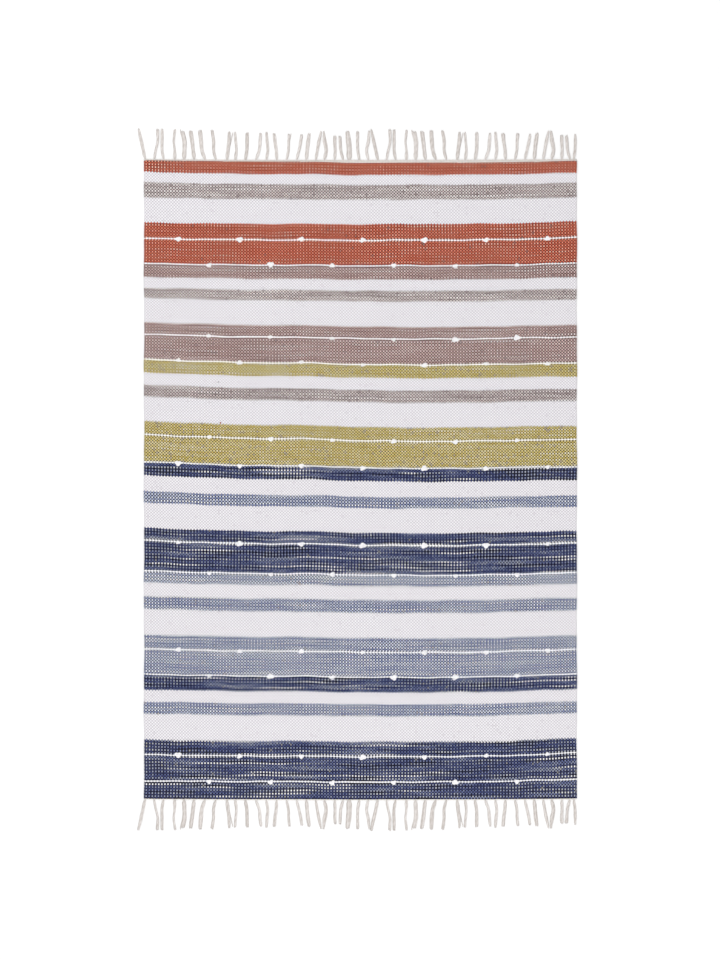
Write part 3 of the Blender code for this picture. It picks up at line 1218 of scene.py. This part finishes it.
@dataclass
class EffectYarns:
    """Twelve soft white yarns across the face, from the rust end down, knotted at even steps."""

    courses: list[Course]
    yarns: tuple[KnottedYarn, ...] = (
        KnottedYarn(first_knot=EARLY, side="ccuucdc", size="mlmmlmm"),
        KnottedYarn(first_knot=LATE, side="duccdc", size="mlmmms"),
        KnottedYarn(first_knot=LATE, side="ccdddc", size="ssssll"),
        KnottedYarn(first_knot=EARLY, side="ucudcud", size="smssmss"),
        KnottedYarn(first_knot=LATE, side="ccdddc", size="smsmms"),
        KnottedYarn(first_knot=EARLY, side="ddcdcdc", size="lmmmlms"),
        KnottedYarn(first_knot=EARLY, side="dddccdc", size="slmllls"),
        KnottedYarn(first_knot=LATE, side="ddcddd", size="ssmmsm"),
        KnottedYarn(first_knot=EARLY, side="cdccddc", size="msmsmmm"),
        KnottedYarn(first_knot=LATE, side="dcddcu", size="slmllm"),
        KnottedYarn(first_knot=EARLY, side="uddcdcc", size="lmmlmss"),
        KnottedYarn(first_knot=LATE, side="dddddd", size="mmmmlm"),
    )
    seed: int = 5
    rings_a_bead: int = 6
    sides: int = 8
    half_width: float = 0.0018
    half_height: float = 0.0026
    middle_height: float = 0.0040
    bead_swell: float = 0.60
    bead_rise: float = 0.08
    bead_lift: float = 0.0006
    bead_shift: float = 2.1
    slubs: tuple[Ripple, ...] = (
        Ripple(size=0.05, pace=61.0, other_pace=1.0),
        Ripple(size=0.04, pace=140.0, other_pace=2.0),
    )
    overhang: float = 0.0004
    end_run: float = 0.004
    end_share: float = 0.55
    end_drop: float = 0.0018
    knot_pitch: float = 0.1707
    knot_length: float = 0.0068
    knot_breadth: float = 0.0050
    knot_yarn: float = 0.0021
    knot_height: float = 0.0062
    knot_growth: float = 0.003
    knot_crossing: float = 0.0011
    knot_variety: tuple[float, float] = (0.94, 1.08)
    knot_turn: tuple[float, float] = (-0.1, 0.6)
    knot_rings: int = 28
    knot_sides: int = 6
    first_number: int = 100
    lean: float = 0.0017

    def build(self, material: bpy.types.Material) -> list[bpy.types.Object]:
        """Lay the yarns and tie their knots.

        Args:
            material: Their finish.

        Returns:
            The yarns as one object and the knots as another.
        """
        yarns, knots = Draft(), Draft()
        chance = np.random.default_rng(self.seed)
        effects = [course for course in reversed(self.courses) if course.yarn is Yarn.EFFECT]
        tied = 0
        for number, (yarn, course) in enumerate(zip(self.yarns, effects)):
            y = (course.low + course.high) / 2
            self.lay(yarns, y, number)
            for knot in self.knots_of(yarn):
                self.tie(knots, y, knot, tied, chance)
                tied += 1
        return [yarns.make("effect_yarns", [material]), knots.make("effect_knots", [material])]

    def knots_of(self, yarn: KnottedYarn) -> list[tuple[float, float, float]]:
        """Space out a yarn's knots.

        Args:
            yarn: The yarn.

        Returns:
            Each knot's x, side and size.
        """
        sides = {"u": 1.0, "c": 0.0, "d": -1.0}
        sizes = {"s": 0.82, "m": 1.0, "l": 1.2}
        return [
            (yarn.first_knot + number * self.knot_pitch, sides[side], sizes[size])
            for number, (side, size) in enumerate(zip(yarn.side, yarn.size))
        ]

    def lay(self, draft: Draft, y: float, number: int) -> None:
        """Add one yarn, which swells where it passes over a warp and dips between.

        Args:
            draft: The yarns' mesh.
            y: The yarn's height up the rug.
            number: Its number.
        """
        left, right = (float(LIE.selvedge(y, side)) for side in (-1, 1))
        count = round((right - left) / TWO_WARPS * self.rings_a_bead)
        x = np.linspace(left - self.overhang, right + self.overhang, count)
        bead = np.cos(2.0 * math.pi * (x - left) / TWO_WARPS + number * self.bead_shift)
        slub = 1.0 + sum(ripple.at(x, number) for ripple in self.slubs)
        full = smooth(np.minimum(x - x[0], x[-1] - x) / self.end_run)
        end = self.end_share + (1.0 - self.end_share) * full
        widths = self.half_width * slub * (1.0 + self.bead_swell * bead) * end
        heights = self.half_height * (1.0 + self.bead_rise * bead) * end
        z = self.middle_height + self.bead_lift * bead - self.end_drop * (1.0 - full)
        centres = np.stack((x, LIE.pick(x, np.full_like(x, y)), z), axis=1)
        draft.add_tube(centres, widths, heights, self.sides, number)

    def tie(
        self,
        draft: Draft,
        y: float,
        knot: tuple[float, float, float],
        number: int,
        chance: np.random.Generator,
    ) -> None:
        """Add one knot, a yarn looped through itself and pulled up small.

        Args:
            draft: The knots' mesh.
            y: Height up the rug of the yarn that it is tied in.
            knot: Its x, side and size.
            number: Its number.
            chance: Source of the small differences between knots.
        """
        x, side, size = knot
        turn = np.arange(self.knot_rings) / self.knot_rings * 2.0 * math.pi
        length, breadth = (
            part * size * chance.uniform(*self.knot_variety)
            for part in (self.knot_length, self.knot_breadth)
        )
        loop_x = length * (np.sin(turn) + 2.0 * np.sin(2.0 * turn)) / 3.0
        loop_y = breadth * (np.cos(turn) - 2.0 * np.cos(2.0 * turn)) / 3.0
        lift = self.knot_height + (size - 1.0) * self.knot_growth
        angle = chance.uniform(*self.knot_turn) + (math.pi if chance.uniform() > 0.5 else 0.0)
        loop_x, loop_y = turn_about(loop_x, loop_y, angle)
        at = float(LIE.pick(np.array(x), np.array(y))) + side * self.lean
        centres = np.stack(
            (x + loop_x, at + loop_y, lift - self.knot_crossing * np.sin(3.0 * turn)), axis=1
        )
        girth = np.full(self.knot_rings, self.knot_yarn * size)
        draft.add_tube(
            centres, girth, girth, self.knot_sides, self.first_number + number, closed=True
        )


@dataclass(frozen=True)
class Nep:
    """A stray tuft of dyed fibre on a white stripe: a few short curls that cross."""

    name: str
    at: tuple[float, float, float]
    half_length: float
    heading: float
    finish: StrandFinish
    girth: float = 0.0009
    curls: int = 3
    crossing: float = 0.6
    spread: float = 0.6
    curl: Ripple = Ripple(size=0.5, pace=2.6, other_pace=1.0)
    stack: float = 0.0003
    tip: float = 0.15
    flatness: float = 0.7
    rings: int = 13
    sides: int = 8

    def build(self) -> bpy.types.Object:
        """Lay the curls over each other, plump in the middle and fine at both ends.

        Returns:
            The tuft.
        """
        share = np.linspace(-1.0, 1.0, self.rings)
        plump = self.girth * (self.tip + (1.0 - self.tip) * np.sqrt(1.0 - share**2))
        draft = Draft()
        for number in range(self.curls):
            off = number - (self.curls - 1) / 2
            aside = self.girth * (self.curl.at(share, number) + off * self.spread)
            x, y = turn_about(self.half_length * share, aside, self.heading + off * self.crossing)
            rise = self.stack * (number + 1.0 - share**2)
            centres = np.stack((x, y, rise), axis=1) + self.at
            draft.add_tube(centres, plump, plump * self.flatness, self.sides, number)
        return draft.make(self.name, [self.finish.material()])


NEPS = (
    Nep("nep_slate", (-0.3933, 0.2741, 0.0050), 0.0018, heading=0.3, finish=SLATE_FINISH),
    Nep("nep_russet", (-0.3877, 0.1608, 0.0050), 0.0027, heading=1.5, finish=RUSSET_FINISH),
)


@dataclass(frozen=True)
class Lock:
    """A fringe lock in millimetres: its root's distance from the left selvedge, its lean at the
    low, middle and tip stations, its length, and its width at root, middle and tip."""

    place: float
    low: float
    middle: float
    tip: float
    length: float
    root_width: float
    girth: float
    tip_width: float
    root_depth: float = 2.5
    root_pinch: float = 0.62
    root_bulge: float = 1.05
    neck_out: float = 9.0
    neck_lean: float = 0.38
    low_out: float = 24.0
    low_share: float = 0.7
    middle_out: float = 52.0
    high_share: float = 0.6

    def profile(self) -> np.ndarray:
        """Work out how the lock runs, from inside the header to its tip.

        Returns:
            Three rows: how far out each station is, and the lock's lean and width there.
        """
        pinched = self.root_width * self.root_pinch
        low_width = self.root_width + (self.girth - self.root_width) * self.low_share
        bulge = max(self.root_width, low_width) * self.root_bulge
        high_out, high_lean, high_width = (
            near + (far - near) * self.high_share
            for near, far in (
                (self.middle_out, self.length),
                (self.middle, self.tip),
                (self.girth, self.tip_width),
            )
        )
        stations = (
            (-self.root_depth, 0.0, pinched),
            (0.0, 0.0, pinched),
            (self.neck_out, self.low * self.neck_lean, bulge),
            (self.low_out, self.low, low_width),
            (self.middle_out, self.middle, self.girth),
            (high_out, high_lean, high_width),
            (self.length, self.tip, self.tip_width),
        )
        return np.array(stations).T


@dataclass(frozen=True)
class Stray:
    """A strand that leaves its lock: how far out it does, and its tip, in millimetres."""

    lock: int
    leaves: float
    tip: float
    length: float


LOCKS = (
    Lock(place=3, low=-5, middle=-11, tip=-18, length=84, root_width=7, girth=10, tip_width=6),
    Lock(place=28, low=4, middle=10, tip=9, length=84, root_width=6, girth=7, tip_width=9),
    Lock(place=54, low=-4, middle=-4, tip=-4, length=84, root_width=6, girth=9, tip_width=8),
    Lock(place=85, low=0, middle=-3, tip=1, length=83, root_width=10, girth=6, tip_width=8),
    Lock(place=111, low=1, middle=1, tip=-4, length=78, root_width=9, girth=13, tip_width=13),
    Lock(place=139, low=-3, middle=-6, tip=-10, length=79, root_width=7, girth=11, tip_width=11),
    Lock(place=169, low=-8, middle=-11, tip=-13, length=81, root_width=6, girth=12, tip_width=11),
    Lock(place=199, low=-6, middle=-6, tip=-10, length=81, root_width=6, girth=9, tip_width=8),
    Lock(place=230, low=2, middle=6, tip=6, length=77, root_width=8, girth=10, tip_width=7),
    Lock(place=253, low=3, middle=1, tip=-1, length=76, root_width=9, girth=7, tip_width=6),
    Lock(place=281, low=4, middle=5, tip=5, length=75, root_width=8, girth=10, tip_width=10),
    Lock(place=310, low=9, middle=12, tip=14, length=73, root_width=6, girth=9, tip_width=7),
    Lock(place=339, low=4, middle=2, tip=0, length=76, root_width=6, girth=9, tip_width=8),
    Lock(place=368, low=-1, middle=-5, tip=-7, length=73, root_width=7, girth=10, tip_width=10),
    Lock(place=395, low=5, middle=6, tip=8, length=72, root_width=6, girth=8, tip_width=9),
    Lock(place=423, low=6, middle=12, tip=15, length=70, root_width=5, girth=9, tip_width=8),
    Lock(place=450, low=2, middle=5, tip=8, length=73, root_width=7, girth=11, tip_width=9),
    Lock(place=476, low=4, middle=9, tip=15, length=79, root_width=5, girth=9, tip_width=4),
    Lock(place=500, low=5, middle=1, tip=-2, length=79, root_width=6, girth=11, tip_width=5),
    Lock(place=529, low=1, middle=0, tip=1, length=66, root_width=6, girth=9, tip_width=10),
    Lock(place=552, low=-6, middle=-8, tip=-9, length=66, root_width=6, girth=9, tip_width=10),
    Lock(place=569, low=0, middle=-2, tip=-5, length=79, root_width=13, girth=15, tip_width=12),
    Lock(place=597, low=-4, middle=-5, tip=-4, length=79, root_width=8, girth=8, tip_width=9),
    Lock(place=622, low=-5, middle=0, tip=2, length=80, root_width=7, girth=9, tip_width=6),
)
CORNER_LOCK = Lock(
    place=1192, low=3, middle=4, tip=4, length=69, root_width=6, girth=9, tip_width=6
)
STRAYS = (
    Stray(lock=4, leaves=58, tip=-10.7, length=84),
    Stray(lock=8, leaves=38, tip=16.0, length=76),
)
SECOND_RUN = 21
SECOND_RUN_START = 0.6453
SECOND_RUN_CLOSENESS = 0.9703


@dataclass
class FringedEnd:
    """One end of the rug: the ribs of its header, and the locks that leave it."""

    name: str
    end: float
    header_line: float
    outward: int
    ribs: int
    seed: int
    header_curve: float = 0.0022
    header_gap: float = 0.0003
    header_height: float = 0.0034
    header_lift: float = 0.0001
    rib_rings: int = 560
    rib_sides: int = 6
    rib_fullness: float = 1.12
    rib_swell: float = 0.10
    rib_sway: float = 0.0002
    rib_height: float = 0.92
    rib_bob: float = 0.06
    rib_step: int = 11
    strand: float = 1.30
    strand_room: float = 1.6
    strand_variety: tuple[float, float] = (0.85, 1.15)
    strand_rings: int = 15
    strand_sides: int = 5
    strand_flatness: float = 0.85
    tip_taper: float = 0.6
    ragged: tuple[float, float] = (-2.0, 1.6)
    fray: float = 0.7
    fray_power: int = 6
    fewest_strands: int = 4
    belly: Ripple = Ripple(size=0.25, pace=3.1)
    wave: float = 0.35
    wave_start: tuple[float, float] = (0.0, 6.3)
    wave_pace: tuple[float, float] = (5.0, 9.0)
    upper_narrowing: float = 0.25
    header_middle: float = 0.0017
    root_run: float = 0.15
    rest_share: float = 0.8
    bob: float = 0.0002
    bob_pace: tuple[float, float] = (11.0, 1.7)
    clearance: float = 0.00015
    layer: float = 0.0013
    stray_thickness: float = 0.95
    stray_height: float = 0.0011
    stray_start: float = 24.0
    stray_ease: float = 0.55
    stray_edge: float = 0.42

    def build(
        self, header: bpy.types.Material, lock: bpy.types.Material
    ) -> list[bpy.types.Object]:
        """Build the header and the fringe.

        Args:
            header: Finish of the header's ribs.
            lock: Finish of the locks.

        Returns:
            The header and the locks as two objects.
        """
        ribs, locks = Draft(), Draft()
        self.twine(ribs)
        chance = np.random.default_rng(self.seed)
        number = 0
        for x, shape, stray in self.places():
            number = self.draw_out(locks, x, shape, stray, number, chance)
        return [
            ribs.make(f"header_{self.name}_end", [header]),
            locks.make(f"locks_{self.name}_end", [lock]),
        ]

    def places(self) -> list[tuple[float, Lock, Stray | None]]:
        """Space out the locks: two runs of the same shapes, and one lock in the corner.

        Returns:
            Every lock's root, shape and stray strand, from left to right.
        """
        strays = {stray.lock: stray for stray in STRAYS}
        left = -RUG_WIDTH / 2
        places = [(left + lock.place * MM, lock, strays.get(i)) for i, lock in enumerate(LOCKS)]
        for i, lock in enumerate(LOCKS[:SECOND_RUN]):
            place = SECOND_RUN_START + SECOND_RUN_CLOSENESS * lock.place * MM
            places.append((left + place, lock, strays.get(i)))
        places.append((left + CORNER_LOCK.place * MM, CORNER_LOCK, None))
        return places

    def outer(self, x: np.ndarray) -> np.ndarray:
        """Y of the header's outer line."""
        return self.header_line + self.header_curve * (x / (RUG_WIDTH / 2)) ** 2

    def twine(self, draft: Draft) -> None:
        """Add the header's ribs, which close up towards the selvedges.

        Args:
            draft: The header's mesh.
        """
        x = np.linspace(-RUG_WIDTH / 2, RUG_WIDTH / 2, self.rib_rings)
        inner = self.end + LIE.bow(x, np.full_like(x, self.end)) + self.outward * self.header_gap
        depth = self.outer(x) - inner
        for rib in range(self.ribs):
            share = (rib + 0.5) / self.ribs
            ripple = np.cos(2.0 * math.pi * x / TWO_WARPS + rib * math.pi)
            fullness = self.rib_fullness + self.rib_swell * ripple
            half = np.abs(depth) / (2 * self.ribs) * fullness
            y = inner + depth * share + self.rib_sway * ripple
            high = self.header_height / 2 * (self.rib_height + self.rib_bob * ripple)
            centres = np.stack((x, y, high + self.header_lift), axis=1)
            draft.add_tube(centres, half, high, self.rib_sides, rib * self.rib_step)

    def draw_out(
        self,
        draft: Draft,
        x: float,
        shape: Lock,
        stray: Stray | None,
        number: int,
        chance: np.random.Generator,
    ) -> int:
        """Add one lock as a flattened bundle of soft strands, in two layers.

        Args:
            draft: The locks' mesh.
            x: Where its root leaves the header.
            shape: Its shape.
            stray: The strand that leaves it, if one does.
            number: Number of its first strand.
            chance: Source of the differences between strands.

        Returns:
            The number that the next lock starts at.
        """
        stations, leans, breadths = shape.profile()
        root = (x, abs(float(self.outer(np.array(x)))))
        strands = self.fewest_strands + round(max(shape.girth, shape.root_width) / self.strand_room)
        for strand in range(strands):
            place = -1.0 + 2.0 * strand / (strands - 1)
            upper = strand % 2
            length = shape.length + chance.uniform(*self.ragged)
            out = np.linspace(stations[0], length, self.strand_rings)
            share = np.clip(out / length, 0.0, 1.0)
            thick = self.strand * chance.uniform(*self.strand_variety)
            thick = thick * (1.0 + self.belly.at(share))
            reach = np.maximum(flow(stations, breadths, out) / 2 - thick, 0.0)
            phase, pace = (chance.uniform(*limits) for limits in (self.wave_start, self.wave_pace))
            wave = self.wave * share * np.sin(phase + share * pace)
            fray = chance.normal(0.0, self.fray) * share**self.fray_power
            spread = place * reach * (1.0 - self.upper_narrowing * upper)
            side = flow(stations, leans, out) + spread + wave + fray
            rest = self.clearance + thick * MM * self.rest_share + upper * self.layer
            z = self.header_middle + (rest - self.header_middle) * smooth(share / self.root_run)
            z = z + self.bob * np.sin(share * self.bob_pace[0] + phase * self.bob_pace[1]) ** 2
            self.add_strand(draft, root, side, out, z, thick, number + strand)
        number += strands
        if stray is None:
            return number
        out = np.linspace(stray.leaves - self.stray_start, stray.length, self.strand_rings)
        away = (out - stray.leaves) / (stray.length - stray.leaves)
        edge = math.copysign(self.stray_edge, stray.tip) * flow(stations, breadths, out)
        lead = flow(stations, leans, np.minimum(out, shape.length)) + edge
        side = lead + (stray.tip - lead) * np.clip(2.0 * smooth(away * self.stray_ease), 0.0, 1.0)
        thick, z = (np.full_like(out, size) for size in (self.stray_thickness, self.stray_height))
        self.add_strand(draft, root, side, out, z, thick, number)
        return number + 1

    def add_strand(
        self,
        draft: Draft,
        root: tuple[float, float],
        side: np.ndarray,
        out: np.ndarray,
        z: np.ndarray,
        thick: np.ndarray,
        number: int,
    ) -> None:
        """Add one strand that ends in a soft point.

        Args:
            draft: The locks' mesh.
            root: X of its lock's root, and how far the header's outer line is from the origin.
            side: Its lean at each ring, in millimetres.
            out: Its distance from the header at each ring, in millimetres.
            z: Its height at each ring.
            thick: Its half thickness at each ring, in millimetres.
            number: Its number.
        """
        taper = np.ones_like(out)
        taper[-1] = self.tip_taper
        y = self.outward * (root[1] + out * MM)
        centres = np.stack((root[0] + side * MM, y, z), axis=1)
        widths = thick * MM * taper
        draft.add_tube(centres, widths, widths * self.strand_flatness, self.strand_sides, number)


@dataclass
class Studio:
    """A white floor, even soft light, and a camera straight above the rug."""

    camera_height: float = 12.0
    camera_reach: float = 100.0
    camera_at: tuple[float, float] = (-0.0011, 0.0023)
    view_height: float = 2.6632
    film: float = 36.0
    floor_size: float = 80.0
    floor_drop: float = 0.0005
    floor_grey: float = 0.95
    floor_roughness: float = 0.9
    sky: float = 0.74
    lamp_power: float = 68.0
    lamp_size: float = 2.4
    lamp_out: float = 3.2
    lamp_height: float = 3.6
    lamp_aside: float = -0.5
    lamp_splay: float = 0.8
    lamp_aim: float = 0.4

    def build(self) -> None:
        """Set up the floor, the light and the camera."""
        self.lay_floor()
        self.light()
        self.place_camera()

    def lay_floor(self) -> None:
        """Lay a plain floor just under the rug."""
        bpy.ops.object.select_all(action="DESELECT")
        bpy.ops.mesh.primitive_plane_add(size=self.floor_size, location=(0, 0, -self.floor_drop))
        floor = bpy.context.active_object
        floor.name = "floor"
        graph = ShaderGraph("floor_paint", self.floor_roughness, sheen=0.0)
        graph.shader.inputs["Base Color"].default_value = (*(self.floor_grey,) * 3, 1.0)
        floor.data.materials.append(graph.material)

    def light(self) -> None:
        """Light the rug from the whole sky and from a soft lamp past each end."""
        scene = bpy.context.scene
        scene.world = bpy.data.worlds.new("studio_sky")
        scene.world.use_nodes = True
        sky = scene.world.node_tree.nodes["Background"]
        sky.inputs["Color"].default_value = (1.0, 1.0, 1.0, 1.0)
        sky.inputs["Strength"].default_value = self.sky
        for side in (-1, 1):
            lamp = bpy.data.lights.new(f"soft_lamp_{side}", "AREA")
            lamp.energy = self.lamp_power
            lamp.size = self.lamp_size
            holder = bpy.data.objects.new(lamp.name, lamp)
            aside = self.lamp_aside - side * self.lamp_splay
            holder.location = (aside, side * self.lamp_out, self.lamp_height)
            tilt = math.atan2(self.lamp_out - self.lamp_aim, self.lamp_height)
            holder.rotation_euler = (-side * tilt, 0.0, 0.0)
            holder.visible_camera = False
            scene.collection.objects.link(holder)
        scene.view_settings.view_transform = "Standard"

    def place_camera(self) -> None:
        """Put a long lens straight above the rug."""
        lens = bpy.data.cameras.new("camera")
        lens.sensor_width = self.film
        lens.lens = self.film * self.camera_height / self.view_height
        lens.clip_end = self.camera_reach
        holder = bpy.data.objects.new("camera", lens)
        holder.location = (*self.camera_at, self.camera_height)
        bpy.context.scene.collection.objects.link(holder)
        bpy.context.scene.camera = holder


@dataclass
class Rug:
    """The whole rug."""

    pick_height: float = 0.00413
    rust_header: float = 0.8899
    navy_header: float = -0.8857

    def build(self) -> list[bpy.types.Object]:
        """Build and dress every piece.

        Returns:
            All of the rug's pieces.
        """
        courses = woven_courses(self.pick_height)
        wefts = {finish.yarn: finish.material() for finish in WEFT_FINISHES}
        cloth = GroundCloth(courses).build(wefts)
        face = WovenFace(courses).build(wefts)
        effects = EffectYarns(courses).build(EFFECT_FINISH.material())
        neps = [nep.build() for nep in NEPS]
        header, lock = HEADER_FINISH.material(), LOCK_FINISH.material()
        rust_end = FringedEnd("rust", RUST_END, self.rust_header, outward=1, ribs=3, seed=3)
        navy_end = FringedEnd("navy", NAVY_END, self.navy_header, outward=-1, ribs=1, seed=4)
        rust, navy = (end.build(header, lock) for end in (rust_end, navy_end))
        pieces = [cloth, *face, *effects, *neps, *rust, *navy]
        for piece in pieces:
            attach(piece, BODY)
        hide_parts("woven_cloth")
        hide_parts("fringe_rust_end")
        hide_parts("fringe_navy_end")
        return pieces


def main() -> None:
    """Build the rug and the studio, and report each piece."""
    logging.basicConfig(level=logging.INFO, format="%(message)s")
    total = 0
    for piece in Rug().build():
        triangles = sum(len(face.vertices) - 2 for face in piece.data.polygons)
        total += triangles
        log.info("%s: %d triangles", piece.name, triangles)
    log.info("whole rug: %d triangles", total)
    Studio().build()


if __name__ == "__main__":
    main()
